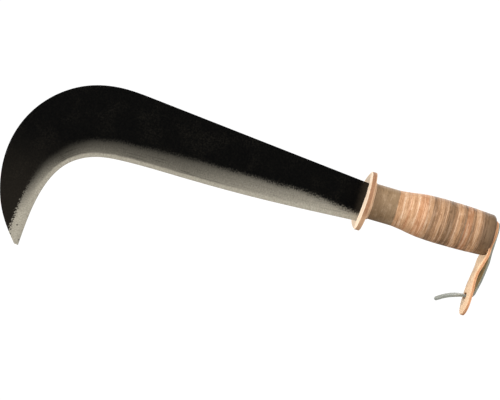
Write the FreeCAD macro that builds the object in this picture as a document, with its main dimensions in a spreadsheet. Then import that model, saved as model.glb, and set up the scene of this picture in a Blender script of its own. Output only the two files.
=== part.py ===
import FreeCAD, Part

import math
import os

import Sketcher
from FreeCAD import Placement, Rotation, Vector

# A hand sickle of the hooked hedging kind. The frame: +X runs along the handle towards its butt, +Z towards
# the blade's spine, so the cutting edge faces -Z, and Y is across the blade. The origin is the grip's centre,
# on the tang's axis. All lengths are in millimetres.

SIZES = (
    # alias, value, what it measures
    ("blade_thickness", 4.5, "blade across its flats"),
    ("hone_thickness", 1.7, "blade where the honed strip starts"),
    ("edge_thickness", 0.36, "land left at the cutting edge"),
    ("hone_width", 3.2, "honed strip along the edge"),
    ("tang_height", 11.0, "tang inside the grip, along Z"),
    ("tang_thickness", 4.4, "tang inside the grip, along Y"),
    ("rivet_radius", 2.2, "round end of the tang"),
    ("rivet_head_radius", 4.6, "peened head on the tang's end"),
    ("rivet_head_height", 1.4, "peened head above the hook's plate"),
    ("guard_front", -59.5, "guard's face on the blade's side"),
    ("guard_thickness", 4.0, "leather guard"),
    ("guard_radius", 26.6, "leather guard"),
    ("guard_drop", 1.5, "guard's centre below the tang's axis"),
    ("guard_rounding", 0.8, "guard's worn rim"),
    ("backing_thickness", 1.5, "pale washer behind the guard"),
    ("backing_radius", 17.2, "pale washer behind the guard"),
    ("spacer_thickness", 1.1, "dark washer between the pale one and the collar"),
    ("spacer_radius", 16.7, "dark washer between the pale one and the collar"),
    ("disc_rounding", 0.3, "worn rims of those two washers"),
    ("collar_length", 21.3, "plain collar next to the guard"),
    ("collar_radius", 16.3, "grip at the collar's guard end"),
    ("waist_radius", 15.8, "grip's narrowest place"),
    ("swell_radius", 20.0, "grip's widest place"),
    ("butt_radius", 18.6, "grip just before the butt's rounding"),
    ("butt_rounding", 3.0, "rounded corner of the butt"),
    ("butt_washer_thickness", 3.9, "last washer before the butt cap"),
    ("butt_cap_thickness", 4.4, "thick last disc of the grip"),
    ("strap_thickness", 2.6, "leather tongue"),
    ("strap_width", 28.0, "leather tongue"),
    ("strap_end_drop", 60.0, "centre of the tongue's rounded end below the tang's axis"),
    ("slot_width", 11.0, "slot in the tongue, along Y"),
    ("slot_height", 5.8, "slot in the tongue, along Z"),
    ("slot_drop", 56.9, "slot's centre below the tang's axis"),
    ("slot_offset", 5.0, "slot's centre to the side of the tang's axis"),
    ("hook_thickness", 2.0, "steel strip of the belt hook"),
    ("hook_width", 16.0, "belt hook's plate and the top of its shank"),
    ("hook_neck_width", 8.5, "belt hook's strip where it bends forward"),
    ("hook_tip_width", 5.0, "belt hook's prong at its rounded tip"),
    ("hook_plate_top", 13.0, "rounded top of the belt hook's plate above the tang's axis"),
    ("hook_swing", 5.0, "degrees that the belt hook is turned about the tang"),
)

# Thickness of each leather washer, in order from the collar to the butt.
WASHER_THICKNESSES = (
    2.1, 2.1, 2.0, 1.8, 1.8, 1.5, 1.9, 1.6, 1.4, 1.4, 2.5, 2.5, 2.8, 2.1, 2.2, 3.5, 2.9,
    2.8, 1.5, 3.5, 2.8, 2.9, 2.2, 2.2, 2.2, 2.2, 2.1, 2.5, 2.5, 2.9, 2.5, 2.6, 2.3, 3.3,
)

# The blade's outline as (X, Z). Its back is straight from the heel to the hook, and the hook's point is cut off.
HEEL_TOP = (-59.5, 14.3)
HEEL_BOTTOM = (-62.0, -20.4)
HOOK_BACK = (
    (-262.0, 32.6), (-289.0, 33.9), (-320.0, 27.8), (-346.0, 11.6), (-364.0, -11.4),
    (-373.2, -40.0), (-372.6, -69.0), (-362.0, -100.2),
)
POINT_BACK = (-344.6, -124.0)
POINT_FRONT = (-341.0, -124.4)

# The cutting edge from the point to the heel, as (X, Z, width of the ground bevel there).
CUTTING_EDGE = (
    (-339.4, -100.0, 11.3), (-334.2, -70.6, 12.5), (-320.0, -44.2, 15.0), (-300.0, -31.8, 15.5),
    (-272.0, -27.5, 16.0), (-220.0, -26.9, 18.0), (-160.0, -26.0, 17.5), (-110.0, -23.6, 15.5),
)
HEEL_BEVEL_WIDTH = 7.0
BEVEL_TOP_BACK = (-350.9, -117.0)
BEVEL_TOP_FRONT = (-350.7, -117.25)

# How far the tang, and the round stem of its end, reach into the solid that they grow from.
TANG_ROOT = 2.0
STEM_ROOT = 4.0

# The grip's contour: X of its narrowest and widest places, how much it has swelled where the collar ends, and
# the shares of the swell and of the fall behind it that are done halfway.
WAIST_X = -42.0
SWELL_X = 14.0
COLLAR_END_SWELL = 0.2
HALFWAY_RISE = 0.78
HALFWAY_FALL = 0.3

# Middle lines of the bent strips, from the top down, as (X beyond the grip's end, Z). The hook's plate is
# straight above its line.
STRAP_BEND_TOP = -15.0
STRAP_BEND_RADIUS = 10.0
STRAP_CLAMPED_END = -17.2
STRAP_FREE_LINE = (
    (1.0, -17.55), (-0.5, -22.2), (-2.3, -28.5), (-3.8, -36.5), (-4.4, -46.0), (-4.5, -58.0), (-5.0, -74.0),
)
HOOK_LINE = (
    (3.6, -16.0), (4.0, -22.0), (3.8, -28.0), (2.8, -41.0), (1.4, -50.0), (0.2, -54.2),
    (-2.3, -56.6), (-6.4, -57.3), (-14.8, -59.0), (-22.8, -62.4), (-30.8, -67.6),
)

# The hook's outline from the front: its shank narrows between these heights, and its prong from PRONG_ROOT
# beyond the grip's end to its tip.
SHANK_TOP = -18.0
NECK_TOP = -50.0
PRONG_ROOT = -5.0

# How far a cutting outline stands clear of the solid that it trims.
SPARE = 4.0

document = FreeCAD.newDocument("hand_sickle")
sheet = document.addObject("Spreadsheet::Sheet", "Sizes")


def washer_alias(number):
    return f"washer_{number:02d}_thickness"


def fill_sheet():
    """Writes every driving dimension to the sheet, one row each, and the washers' thicknesses below them."""
    rows = list(SIZES)
    for number, thickness in enumerate(WASHER_THICKNESSES, 1):
        rows.append((washer_alias(number), thickness, "leather washer"))
    for row, (alias, value, meaning) in enumerate(rows, 1):
        sheet.set(f"A{row}", meaning)
        sheet.set(f"B{row}", str(value))
        sheet.setAlias(f"B{row}", alias)
    document.recompute()


def size(alias):
    """The value of one of the sheet's cells."""
    return float(sheet.get(alias))


def new_body(label):
    body = document.addObject("PartDesign::Body", label.title().replace("_", ""))
    body.Label = label
    return body


def new_sketch(body, role, name, offset=None):
    """A sketch on one of the body's own origin planes, moved along the plane's normal by an expression."""
    plane = next(part for part in body.Origin.OriginFeatures if part.Role == role)
    sketch = body.newObject("Sketcher::SketchObject", name)
    sketch.AttachmentSupport = [(plane, "")]
    sketch.MapMode = "FlatFace"
    if offset:
        sketch.setExpression("AttachmentOffset.Base.z", offset)
    return sketch


def flat(point):
    return Vector(point[0], point[1], 0)


def smooth_curve(points, start=None, end=None):
    """A curve through the points, which sets out and arrives in the given directions where there are any."""
    curve = Part.BSplineCurve()
    places = [flat(point) for point in points]
    if start:
        curve.interpolate(Points=places, InitialTangent=flat(start), FinalTangent=flat(end))
    else:
        curve.interpolate(places)
    return curve


def add_lines(sketch, *points):
    """Straight edges through the points, in order."""
    for start, end in zip(points, points[1:]):
        sketch.addGeometry(Part.LineSegment(flat(start), flat(end)))


def add_arc(sketch, start, middle, end):
    sketch.addGeometry(Part.Arc(flat(start), flat(middle), flat(end)))


def add_rectangle(sketch, left, bottom, right, top):
    add_lines(sketch, (left, bottom), (right, bottom), (right, top), (left, top), (left, bottom))


def add_bound_circle(sketch, radius, drop="0"):
    """A circle below the sketch's origin, with its radius and its drop bound to expressions."""
    circle = sketch.addGeometry(Part.Circle(Vector(0, -1, 0), Vector(0, 0, 1), 1.0))
    sketch.addConstraint(Sketcher.Constraint("Radius", circle, 1.0))
    sketch.renameConstraint(0, "radius")
    sketch.setExpression("Constraints.radius", radius)
    sketch.addConstraint(Sketcher.Constraint("PointOnObject", circle, 3, -2))
    if drop == "0":
        sketch.addConstraint(Sketcher.Constraint("PointOnObject", circle, 3, -1))
    else:
        sketch.addConstraint(Sketcher.Constraint("DistanceY", circle, 3, -1, 1, 1.0))
        sketch.renameConstraint(2, "drop")
        sketch.setExpression("Constraints.drop", drop)


def pad(body, sketch, name, length, side="One side"):
    feature = body.newObject("PartDesign::Pad", name)
    feature.Profile = sketch
    feature.SideType = side
    feature.setExpression("Length", length)
    return feature


def cut_through(body, sketch, name):
    """Cuts a sketch's areas right through the body, both ways from the sketch's plane."""
    before = body.Tip
    feature = body.newObject("PartDesign::Pocket", name)
    feature.Profile = sketch
    feature.SideType = "Symmetric"
    feature.Type = "ThroughAll"
    document.recompute()
    if feature.Shape.Volume >= before.Shape.Volume:
        raise RuntimeError(f"{name} cuts nothing")
    return feature


def round_edges(body, name, radius, wanted):
    """Fillets the edges of the body's last feature for which wanted(edge) is true."""
    document.recompute()
    last = body.Tip
    names = [f"Edge{index}" for index, edge in enumerate(last.Shape.Edges, 1) if wanted(edge)]
    fillet = body.newObject("PartDesign::Fillet", name)
    fillet.Base = (last, names)
    fillet.setExpression("Radius", radius)
    return fillet


# ---- blade ----


def inward_point(curve, x, z, width):
    """The point at a distance from the cutting edge, square to it, towards the blade's back."""
    along = curve.tangent(curve.parameter(Vector(x, z, 0)))[0]
    return (x - along.y * width, z + along.x * width)


def heel_point(width):
    """The point on the heel at a height above the heel's lower corner."""
    share = width / (HEEL_TOP[1] - HEEL_BOTTOM[1])
    return (HEEL_BOTTOM[0] + share * (HEEL_TOP[0] - HEEL_BOTTOM[0]), HEEL_BOTTOM[1] + width)


def blade_section(body, name, thickness, side, point_back, lower_curve):
    """One outline of the blade, parallel to its flats: heel, straight back, hook's back, point, lower curve."""
    outline = new_sketch(body, "XZ_Plane", name, f"{side} * Sizes.{thickness} / 2")
    add_lines(outline, lower_curve[-1], HEEL_TOP, HOOK_BACK[0])
    outline.addGeometry(smooth_curve(HOOK_BACK + (point_back,)))
    add_lines(outline, point_back, lower_curve[0])
    outline.addGeometry(smooth_curve(lower_curve))
    return outline


def make_blade():
    """The forged blade, ground on both sides to its cutting edge, with its tang and peened tang end."""
    body = new_body("blade")
    edge = [POINT_FRONT] + [(x, z) for x, z, width in CUTTING_EDGE] + [HEEL_BOTTOM]
    edge_curve = smooth_curve(edge)
    hone = size("hone_width")
    share = hone / (POINT_FRONT[0] - POINT_BACK[0])
    hone_start = (
        POINT_FRONT[0] + share * (POINT_BACK[0] - POINT_FRONT[0]),
        POINT_FRONT[1] + share * (POINT_BACK[1] - POINT_FRONT[1]),
    )
    hone_line = [hone_start] + [inward_point(edge_curve, x, z, hone) for x, z, width in CUTTING_EDGE]
    bevel_line = [BEVEL_TOP_FRONT] + [inward_point(edge_curve, x, z, width) for x, z, width in CUTTING_EDGE]
    hone_line.append(heel_point(hone))
    bevel_line.append(heel_point(HEEL_BEVEL_WIDTH))
    layers = (
        ("blade_thickness", BEVEL_TOP_BACK, bevel_line),
        ("hone_thickness", POINT_BACK, hone_line),
        ("edge_thickness", POINT_BACK, edge),
    )
    sections = []
    for place, (thickness, back, lower) in enumerate(layers):
        sections.append(blade_section(body, f"NearLayer{place}", thickness, 1, back, lower))
    for place, (thickness, back, lower) in reversed(list(enumerate(layers))):
        sections.append(blade_section(body, f"FarLayer{place}", thickness, -1, back, lower))
    loft = body.newObject("PartDesign::AdditiveLoft", "GroundBlade")
    loft.Profile = sections[0]
    loft.Sections = sections[1:]
    loft.Ruled = True

    butt = butt_face()
    half_height = size("tang_height") / 2
    tang = new_sketch(body, "XZ_Plane", "TangSide")
    add_rectangle(tang, HEEL_BOTTOM[0] - TANG_ROOT, -half_height, butt, half_height)
    pad(body, tang, "Tang", "Sizes.tang_thickness", side="Symmetric")

    stem = size("rivet_radius")
    head = size("rivet_head_radius")
    height = size("rivet_head_height")
    seat = butt + size("strap_thickness") + size("hook_thickness")
    dome_radius = (head ** 2 + height ** 2) / (2 * height)
    half_turn = math.asin(head / dome_radius) / 2
    dome_centre = seat + height - dome_radius
    halfway = (dome_centre + dome_radius * math.cos(half_turn), dome_radius * math.sin(half_turn))
    root = butt - STEM_ROOT
    rivet = new_sketch(body, "XZ_Plane", "TangEndProfile")
    add_lines(rivet, (seat + height, 0), (root, 0), (root, stem), (seat, stem), (seat, head))
    add_arc(rivet, (seat, head), halfway, (seat + height, 0))
    peened_end = body.newObject("PartDesign::Revolution", "PeenedTangEnd")
    peened_end.Profile = rivet
    peened_end.ReferenceAxis = (rivet, ["H_Axis"])
    return body


# ---- guard and grip ----


def butt_face():
    """X of the grip's flat end, where the tongue starts."""
    stack = ("guard", "backing", "spacer", "butt_washer", "butt_cap")
    length = sum(size(f"{part}_thickness") for part in stack) + size("collar_length")
    washers = sum(size(washer_alias(number)) for number in range(1, len(WASHER_THICKNESSES) + 1))
    return size("guard_front") + length + washers


def make_disc(label, front, part, rounding, drop="0"):
    """A leather disc threaded on the tang. Its sizes are the sheet's, under the part's name."""
    body = new_body(label)
    rim = new_sketch(body, "YZ_Plane", f"{body.Name}Rim", front)
    add_bound_circle(rim, f"Sizes.{part}_radius", drop)
    pad(body, rim, f"{body.Name}Disc", f"Sizes.{part}_thickness")
    half_width = size("tang_thickness") / 2
    half_height = size("tang_height") / 2
    hole = new_sketch(body, "YZ_Plane", f"{body.Name}TangHole", front)
    add_rectangle(hole, -half_width, -half_height, half_width, half_height)
    cut_through(body, hole, f"{body.Name}Hole")
    round_edges(body, f"{body.Name}WornRim", rounding, lambda edge: isinstance(edge.Curve, Part.Circle))
    return body


def make_grip_contour():
    """The turned outside of the whole grip, as a solid of revolution that the washers are cut to."""
    body = new_body("grip_contour")
    start = size("guard_front")
    end = butt_face()
    corner = size("butt_rounding")
    waist = size("waist_radius")
    swell = size("swell_radius")
    butt = size("butt_radius")
    collar_end = start + sum(size(f"{part}_thickness") for part in ("guard", "backing", "spacer"))
    collar_end += size("collar_length")
    profile = new_sketch(body, "XZ_Plane", "GripProfile")
    contour = (
        (start, size("collar_radius")),
        (WAIST_X, waist),
        (collar_end, waist + COLLAR_END_SWELL),
        ((collar_end + SWELL_X) / 2, waist + HALFWAY_RISE * (swell - waist)),
        (SWELL_X, swell),
        ((SWELL_X + end) / 2, swell - HALFWAY_FALL * (swell - butt)),
        (end - corner, butt),
    )
    profile.addGeometry(smooth_curve(contour))
    bend = corner * (1 - 0.5 ** 0.5)
    add_arc(profile, (end - corner, butt), (end - bend, butt - bend), (end, butt - corner))
    add_lines(profile, (end, butt - corner), (end, 0), (start, 0), (start, contour[0][1]))
    turned = body.newObject("PartDesign::Revolution", "TurnedGrip")
    turned.Profile = profile
    turned.ReferenceAxis = (profile, ["H_Axis"])
    return body


def make_grip_stack(contour):
    """Collar, washers and butt discs: slabs of one stack, each cut to the grip's contour and to the tang."""
    labels = [("collar", "collar_length")]
    for number in range(1, len(WASHER_THICKNESSES) + 1):
        labels.append((f"grip_washer_{number:02d}", washer_alias(number)))
    labels += [("butt_washer", "butt_washer_thickness"), ("butt_cap", "butt_cap_thickness")]

    width = 2 * (size("swell_radius") + SPARE)
    tang = document.addObject("Part::Box", "TangHole")
    tang.setExpression("Width", "Sizes.tang_thickness")
    tang.setExpression("Height", "Sizes.tang_height")
    tang.setExpression("Placement.Base.y", "-Sizes.tang_thickness / 2")
    tang.setExpression("Placement.Base.z", "-Sizes.tang_height / 2")
    tang.Length = butt_face() - size("guard_front") + 2 * SPARE
    tang.Placement.Base.x = size("guard_front") - SPARE

    pieces = []
    front = "Sizes.guard_front + Sizes.guard_thickness + Sizes.backing_thickness + Sizes.spacer_thickness"
    for label, thickness in labels:
        name = label.title().replace("_", "")
        slab = document.addObject("Part::Box", f"{name}Slab")
        slab.setExpression("Length", f"Sizes.{thickness}")
        slab.Width = width
        slab.Height = width
        slab.Placement.Base = Vector(0, -width / 2, -width / 2)
        slab.setExpression("Placement.Base.x", front)
        turned = document.addObject("Part::Common", f"{name}Turned")
        turned.Base = slab
        turned.Tool = contour
        piece = document.addObject("Part::Cut", name)
        piece.Base = turned
        piece.Tool = tang
        piece.Label = label
        pieces.append(piece)
        front = f"{slab.Name}.Placement.Base.x + {slab.Name}.Length"
    return pieces


# ---- tongue and belt hook ----


def end_directions(line):
    """Straight down at a strip's start, and along its last stretch at its end."""
    return (0, -1), (line[-1][0] - line[-2][0], line[-1][1] - line[-2][1])


def strip_side(line, middle, offset):
    """The points of a strip's middle line moved square to it."""
    side = []
    for x, z in line:
        along = middle.tangent(middle.parameter(Vector(x, z, 0)))[0]
        side.append((x - offset * along.y, z + offset * along.x))
    return side


def add_bent_strip(sketch, line, thickness, top=None):
    """The closed side view of a strip along a line of (X, Z) points, straight above it up to a given top."""
    directions = end_directions(line) if top else ()
    middle = smooth_curve(line, *directions)
    left = strip_side(line, middle, -thickness / 2)
    right = strip_side(line, middle, thickness / 2)
    sketch.addGeometry(smooth_curve(left, *directions))
    sketch.addGeometry(smooth_curve(right, *directions))
    if top:
        add_lines(sketch, left[0], (left[0][0], top), (right[0][0], top), right[0])
    else:
        add_lines(sketch, left[0], right[0])
    add_lines(sketch, left[-1], right[-1])


def beyond_grip(line):
    """A middle line's points in the sickle's frame."""
    return [(butt_face() + x, z) for x, z in line]


def cut_strap_end(body, name, centre, sign):
    """Rounds one end of the strap: cuts all that lies outside a half circle as wide as the strap."""
    half = size("strap_width") / 2
    spare = half + SPARE
    end = new_sketch(body, "YZ_Plane", f"{name}Outline")
    add_lines(end, (-half, centre), (-spare, centre), (-spare, centre + sign * spare))
    add_lines(end, (-spare, centre + sign * spare), (spare, centre + sign * spare), (spare, centre), (half, centre))
    add_arc(end, (half, centre), (0, centre + sign * half), (-half, centre))
    cut_through(body, end, name)


def make_tongue_clamp():
    """The upper end of the leather strap, held between the grip and the belt hook's plate."""
    body = new_body("tongue_clamp")
    half = size("strap_thickness") / 2
    face = butt_face()
    top = size("strap_width") / 2
    side = new_sketch(body, "XZ_Plane", "ClampSide")
    drop = STRAP_BEND_TOP - STRAP_CLAMPED_END
    centre = (face + half - STRAP_BEND_RADIUS, STRAP_BEND_TOP)
    ends = []
    for radius in (STRAP_BEND_RADIUS - half, STRAP_BEND_RADIUS + half):
        share = drop / STRAP_BEND_RADIUS
        reach = (1 - share ** 2) ** 0.5
        middle_reach = (1 - share ** 2 / 4) ** 0.5
        end = (centre[0] + radius * reach, centre[1] - radius * share)
        middle = (centre[0] + radius * middle_reach, centre[1] - radius * share / 2)
        start = (centre[0] + radius, centre[1])
        add_arc(side, start, middle, end)
        ends.append((start, end))
    (inner_start, inner_end), (outer_start, outer_end) = ends
    add_lines(side, inner_end, outer_end)
    add_lines(side, inner_start, (inner_start[0], top), (outer_start[0], top), outer_start)
    pad(body, side, "ClampStrap", "Sizes.strap_width", side="Symmetric")
    cut_strap_end(body, "ClampRounding", 0, 1)
    hole = new_sketch(body, "YZ_Plane", "ClampHoleCircle")
    add_bound_circle(hole, "Sizes.rivet_radius")
    cut_through(body, hole, "ClampHole")
    return body


def make_tongue():
    """The free part of the leather strap, slotted for the belt hook's prong."""
    body = new_body("tongue")
    side = new_sketch(body, "XZ_Plane", "TongueSide")
    add_bent_strip(side, beyond_grip(STRAP_FREE_LINE), size("strap_thickness"))
    pad(body, side, "TongueStrap", "Sizes.strap_width", side="Symmetric")
    cut_strap_end(body, "TongueRounding", -size("strap_end_drop"), -1)
    slot = new_sketch(body, "YZ_Plane", "TongueSlotOutline")
    middle = size("slot_offset")
    drop = -size("slot_drop")
    radius = size("slot_height") / 2
    reach = size("slot_width") / 2 - radius
    for sign in (-1, 1):
        add_lines(slot, (middle - reach, drop + sign * radius), (middle + reach, drop + sign * radius))
        start = (middle + sign * reach, drop - radius)
        add_arc(slot, start, (start[0] + sign * radius, drop), (start[0], drop + radius))
    cut_through(body, slot, "TongueSlot")
    return body


def make_belt_hook():
    """The steel strip under the tang's peened end, bent forward below into a tapered prong."""
    body = new_body("belt_hook")
    line = beyond_grip(HOOK_LINE)
    half = size("hook_width") / 2
    neck = size("hook_neck_width") / 2
    tip = size("hook_tip_width") / 2
    top = size("hook_plate_top")
    spare = half + SPARE
    side = new_sketch(body, "XZ_Plane", "HookSide")
    add_bent_strip(side, line, size("hook_thickness"), top + SPARE)
    pad(body, side, "HookStrip", "Sizes.hook_width", side="Symmetric")

    lowest = line[-1][1] - SPARE
    front_view = new_sketch(body, "YZ_Plane", "HookFrontOutline")
    add_rectangle(front_view, -spare, lowest - SPARE, spare, top + 2 * SPARE)
    add_arc(front_view, (-half, top - half), (0, top), (half, top - half))
    add_lines(front_view, (half, top - half), (half, SHANK_TOP), (neck, NECK_TOP), (neck, lowest))
    add_lines(front_view, (neck, lowest), (-neck, lowest), (-neck, NECK_TOP), (-half, SHANK_TOP))
    add_lines(front_view, (-half, SHANK_TOP), (-half, top - half))
    cut_through(body, front_view, "HookTaper")

    tip_x = line[-1][0]
    root_x = butt_face() + PRONG_ROOT
    end_x = line[0][0] + SPARE
    beside = half + SPARE / 2
    plan_view = new_sketch(body, "XY_Plane", "HookPlanOutline")
    add_rectangle(plan_view, tip_x - SPARE, -spare, end_x + SPARE, spare)
    add_arc(plan_view, (tip_x + tip, -tip), (tip_x, 0), (tip_x + tip, tip))
    add_lines(plan_view, (tip_x + tip, tip), (root_x, neck), (root_x, beside), (end_x, beside))
    add_lines(plan_view, (end_x, beside), (end_x, -beside), (root_x, -beside), (root_x, -neck))
    add_lines(plan_view, (root_x, -neck), (tip_x + tip, -tip))
    cut_through(body, plan_view, "ProngTaper")

    hole = new_sketch(body, "YZ_Plane", "HookHoleCircle")
    add_bound_circle(hole, "Sizes.rivet_radius")
    cut_through(body, hole, "HookHole")
    body.Placement = Placement(Vector(0, 0, 0), Rotation(Vector(1, 0, 0), size("hook_swing")))
    return body


def check_document():
    """Stops if any object of the document failed, because recomputing doesn't raise."""
    document.recompute()
    for item in document.Objects:
        if "Invalid" in item.State or "Error" in item.State:
            raise RuntimeError(f"{item.Label} failed: {item.State}")


def write_parts(pieces):
    os.makedirs("parts", exist_ok=True)
    for piece in pieces:
        shape = piece.Shape
        if shape.isNull() or not shape.isValid() or len(shape.Solids) != 1:
            raise RuntimeError(f"{piece.Label} is not one valid solid")
        shape.exportStep(os.path.join("parts", f"{piece.Label}.step"))
        box = shape.BoundBox
        print(
            f"{piece.Label}: {shape.Volume:.0f} mm3, X {box.XMin:.1f} to {box.XMax:.1f},"
            f" Y {box.YMin:.1f} to {box.YMax:.1f}, Z {box.ZMin:.1f} to {box.ZMax:.1f}"
        )


fill_sheet()
behind_guard = "Sizes.guard_front + Sizes.guard_thickness"
blade = make_blade()
guard = make_disc("guard", "Sizes.guard_front", "guard", "Sizes.guard_rounding", "Sizes.guard_drop")
backing = make_disc("guard_backing_washer", behind_guard, "backing", "Sizes.disc_rounding")
spacer = make_disc(
    "dark_spacer_washer", f"{behind_guard} + Sizes.backing_thickness", "spacer", "Sizes.disc_rounding"
)
grip_stack = make_grip_stack(make_grip_contour())
strap_pieces = [make_tongue_clamp(), make_tongue(), make_belt_hook()]
check_document()
write_parts([blade, guard, backing, spacer] + grip_stack + strap_pieces)
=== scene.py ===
import math
import random

import bmesh
import bpy
import numpy as np
from mathutils import Matrix, Vector, noise
from mathutils.geometry import delaunay_2d_cdt


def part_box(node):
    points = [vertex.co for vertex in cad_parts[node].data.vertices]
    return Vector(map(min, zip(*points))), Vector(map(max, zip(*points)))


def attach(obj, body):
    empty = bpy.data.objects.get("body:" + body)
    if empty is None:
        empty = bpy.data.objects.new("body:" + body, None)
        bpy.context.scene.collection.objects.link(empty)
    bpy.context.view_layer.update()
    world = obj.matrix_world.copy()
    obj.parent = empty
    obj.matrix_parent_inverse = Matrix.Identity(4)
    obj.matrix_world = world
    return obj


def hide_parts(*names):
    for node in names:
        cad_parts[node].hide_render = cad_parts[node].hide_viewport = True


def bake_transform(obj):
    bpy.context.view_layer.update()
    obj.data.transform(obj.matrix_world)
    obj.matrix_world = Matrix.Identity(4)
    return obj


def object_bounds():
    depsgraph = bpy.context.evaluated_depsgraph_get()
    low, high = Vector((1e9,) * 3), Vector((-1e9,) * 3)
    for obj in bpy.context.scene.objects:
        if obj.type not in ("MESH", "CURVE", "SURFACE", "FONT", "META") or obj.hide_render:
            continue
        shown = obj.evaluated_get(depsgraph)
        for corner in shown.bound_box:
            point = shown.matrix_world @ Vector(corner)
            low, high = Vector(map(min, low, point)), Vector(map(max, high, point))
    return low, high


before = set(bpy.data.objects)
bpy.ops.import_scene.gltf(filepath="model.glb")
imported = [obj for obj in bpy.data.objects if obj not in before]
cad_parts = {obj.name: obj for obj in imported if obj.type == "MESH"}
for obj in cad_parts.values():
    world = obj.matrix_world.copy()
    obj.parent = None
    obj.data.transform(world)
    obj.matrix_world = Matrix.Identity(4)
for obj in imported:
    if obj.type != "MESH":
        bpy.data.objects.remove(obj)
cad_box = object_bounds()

# The looks of a hooked hand sickle. The frame is the CAD's: +X along the handle to its butt, +Z to the
# blade's back, Y across the blade. Lengths are in millimetres, and metres where a mesh is made.

MM = 0.001

# ---- outlines, as (X, Z) in millimetres ----

# The heel's top bites 0.8 mm into the guard's leather.
HEEL_TOP = (-58.7, 14.3)
HEEL_BOTTOM = (-61.2, -20.4)
HOOK_BACK = (
    (-262.0, 32.6), (-289.0, 33.9), (-320.0, 27.8), (-346.0, 11.6), (-364.0, -11.4),
    (-373.2, -40.0), (-372.6, -69.0), (-362.0, -100.2),
)
POINT_BACK = (-344.6, -124.0)
POINT_FRONT = (-341.0, -124.4)

# The cutting edge from the heel to the point: X, Z, the ground bevel's width there, the X and Z of the place
# on the back that lies across from it, and the bevel's grey by the hone and by its upper end, from 0 to 255.
RIBS = (
    (HEEL_BOTTOM[0], HEEL_BOTTOM[1], 7.0, HEEL_TOP[0], HEEL_TOP[1], 146.0, 136.0),
    (-110.0, -23.6, 15.5, -110.0, 18.9, 146.0, 106.0),
    (-160.0, -26.0, 17.5, -163.0, 23.7, 136.0, 92.0),
    (-220.0, -26.9, 18.0, -226.0, 29.3, 110.0, 64.0),
    (-272.0, -27.5, 16.0, -285.0, 33.9, 102.0, 60.0),
    (-300.0, -31.8, 15.5, -322.0, 27.0, 106.0, 48.0),
    (-320.0, -44.2, 15.0, -354.0, 2.8, 98.0, 26.0),
    (-334.2, -70.6, 12.5, -373.4, -50.0, 150.0, 66.0),
    (-339.4, -100.0, 11.3, -364.5, -94.0, 160.0, 156.0),
    (POINT_FRONT[0], POINT_FRONT[1], 10.5, POINT_BACK[0], POINT_BACK[1], 158.0, 154.0),
)
# Dark pits and smudges on the bevel near the point, as X, Z and radius.
PITS = ((-346.4, -107.4, 1.0), (-341.6, -119.6, 0.9), (-350.6, -112.6, 1.0), (-350.0, -116.4, 0.9))
HALF_BLADE = 2.25
HALF_AT_HONE = 0.85
HALF_AT_EDGE = 0.18
HONE_WIDTH = 3.2
SPINE_ROUNDING = 0.7

# Middle lines of the strap and of the belt hook from the top down, as (X beyond the grip's end, Z).
STRAP_LINE = (
    (1.3, 14.0), (1.3, 4.0), (1.3, -6.0), (1.3, -13.0), (1.0, -17.55), (-0.5, -22.2), (-2.3, -28.5),
    (-3.8, -36.5), (-4.4, -46.0), (-4.5, -58.0), (-5.0, -74.0),
)
HOOK_LINE = (
    (3.6, 13.0), (3.6, 3.0), (3.6, -7.0), (3.6, -16.0), (4.0, -22.0), (3.8, -28.0), (2.8, -41.0),
    (1.4, -50.0), (0.2, -54.2), (-2.3, -56.6), (-6.4, -57.3), (-14.8, -59.0), (-22.8, -62.4), (-30.8, -67.6),
)
HALF_STRAP = 1.3
HALF_HOOK = 1.0

# How light a washer can be beside others of its leather.
SHADES = {"pale": 1.0, "plain": 0.9, "deep": 0.8, "smoky": 0.7}

# The washers from the collar to the butt: the leather of each and its shade.
WASHERS = (
    ("light", "plain"), ("light", "plain"), ("cream", "plain"), ("light", "plain"), ("light", "plain"),
    ("salmon", "plain"), ("cream", "plain"), ("light", "plain"), ("light", "plain"), ("cream", "plain"),
    ("salmon", "plain"), ("salmon", "plain"), ("salmon", "plain"), ("light", "deep"), ("tan", "plain"),
    ("brown", "deep"), ("brown", "pale"), ("tan", "plain"), ("brown", "pale"), ("brown", "pale"),
    ("dark", "pale"), ("dark", "pale"), ("brown", "plain"), ("tan", "plain"), ("tan", "pale"),
    ("brown", "pale"), ("brown", "smoky"), ("salmon", "smoky"), ("salmon", "smoky"), ("brown", "plain"),
    ("tan", "plain"), ("tan", "plain"), ("brown", "deep"), ("dark", "deep"),
)


# ---- curves ----


def spline(points, count):
    """Points spaced evenly in chord length on a natural cubic spline through the given points."""
    places = np.array(points, float)
    steps = np.linalg.norm(np.diff(places, axis=0), axis=1)
    knots = np.concatenate([[0.0], np.cumsum(steps)])
    size = len(knots)
    system = np.zeros((size, size))
    target = np.zeros((size, places.shape[1]))
    system[0, 0] = 1.0
    system[-1, -1] = 1.0
    for i in range(1, size - 1):
        before = steps[i - 1]
        after = steps[i]
        system[i, i - 1:i + 2] = before, 2 * (before + after), after
        target[i] = 6 * ((places[i + 1] - places[i]) / after - (places[i] - places[i - 1]) / before)
    bend = np.linalg.solve(system, target)
    where = np.linspace(0.0, knots[-1], count)
    left = np.clip(np.searchsorted(knots, where, side="right") - 1, 0, size - 2)
    step = steps[left][:, None]
    a = (knots[left + 1] - where)[:, None]
    b = (where - knots[left])[:, None]
    straight = (places[left] * a + places[left + 1] * b) / step
    sag_left = (a ** 3 / step - a * step) * bend[left] / 6
    sag_right = (b ** 3 / step - b * step) * bend[left + 1] / 6
    return straight + sag_left + sag_right


def lengths_along(line):
    steps = np.linalg.norm(np.diff(line, axis=0), axis=1)
    return np.concatenate([[0.0], np.cumsum(steps)])


def at_length(line, length):
    """The points of a dense line at the given lengths along it."""
    along = lengths_along(line)
    return np.stack([np.interp(length, along, line[:, axis]) for axis in range(line.shape[1])], axis=-1)


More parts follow.
